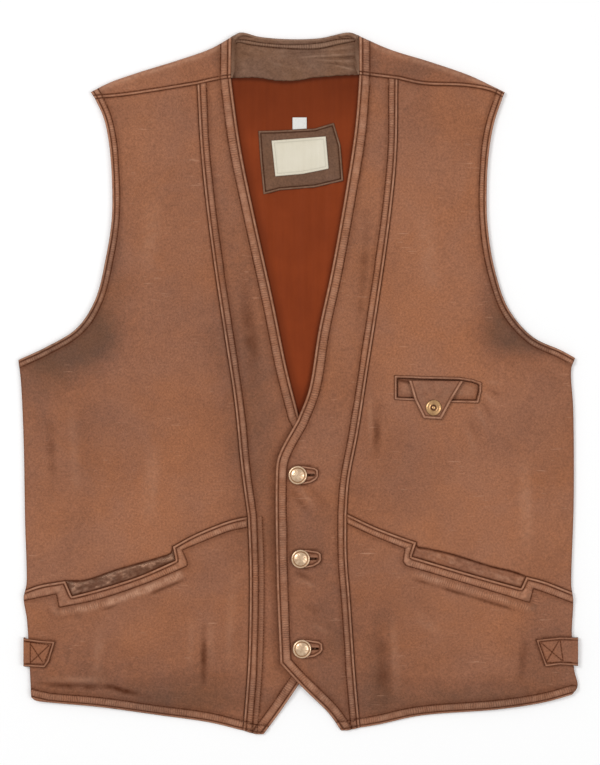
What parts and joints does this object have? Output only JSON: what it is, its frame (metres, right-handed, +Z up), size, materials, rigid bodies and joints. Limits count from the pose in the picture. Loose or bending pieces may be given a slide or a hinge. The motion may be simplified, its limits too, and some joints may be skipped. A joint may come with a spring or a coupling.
{
  "type": "leather vest",
  "caption": "Men's leather vest laid flat on its back and buttoned, with a V neck, princess seams, stepped welt pockets, side tabs and a snapped chest pocket.",
  "frame": {"origin": "centre of the bounding box, on the surface that the vest lies on", "axes": "+Y to the collar, +Z up out of the fronts, +X to the viewer's right, which is the wearer's left"},
  "size_m": [0.5878, 0.7372, 0.0161],
  "materials": {
    "leather": "semi-matt aniline leather, rubbed lighter on the raised edges and darker at the seams",
    "taupe_leather": "matt taupe leather",
    "lining": "rust satin lining",
    "woven_label": "plain cream woven label",
    "size_tag": "plain white tape",
    "brass": "aged brass, polished on the high spots",
    "thread": "dark brown waxed thread"
  },
  "bodies": {
    "root": {"back_panel": "leather", "back_lining": "lining", "back_neck_facing": "taupe_leather", "label_patch": "taupe_leather", "woven_label": "woven_label", "size_tag": "size_tag", "right_front_center": "leather", "left_front_center": "leather", "right_front_side": "leather", "left_front_side": "leather", "right_front_lower": "leather", "left_front_lower": "leather", "right_pocket_welt": "leather", "left_pocket_welt": "leather", "right_side_tab": "leather", "left_side_tab": "leather", "chest_pocket_welt": "leather", "chest_pocket_frame": "leather", "chest_pocket_flap": "leather", "chest_pocket_snap": "brass", "buttonhole_1": "leather", "buttonhole_2": "leather", "buttonhole_3": "leather", "button_1": "brass", "button_2": "brass", "button_3": "brass"}
  },
  "joints": []
}
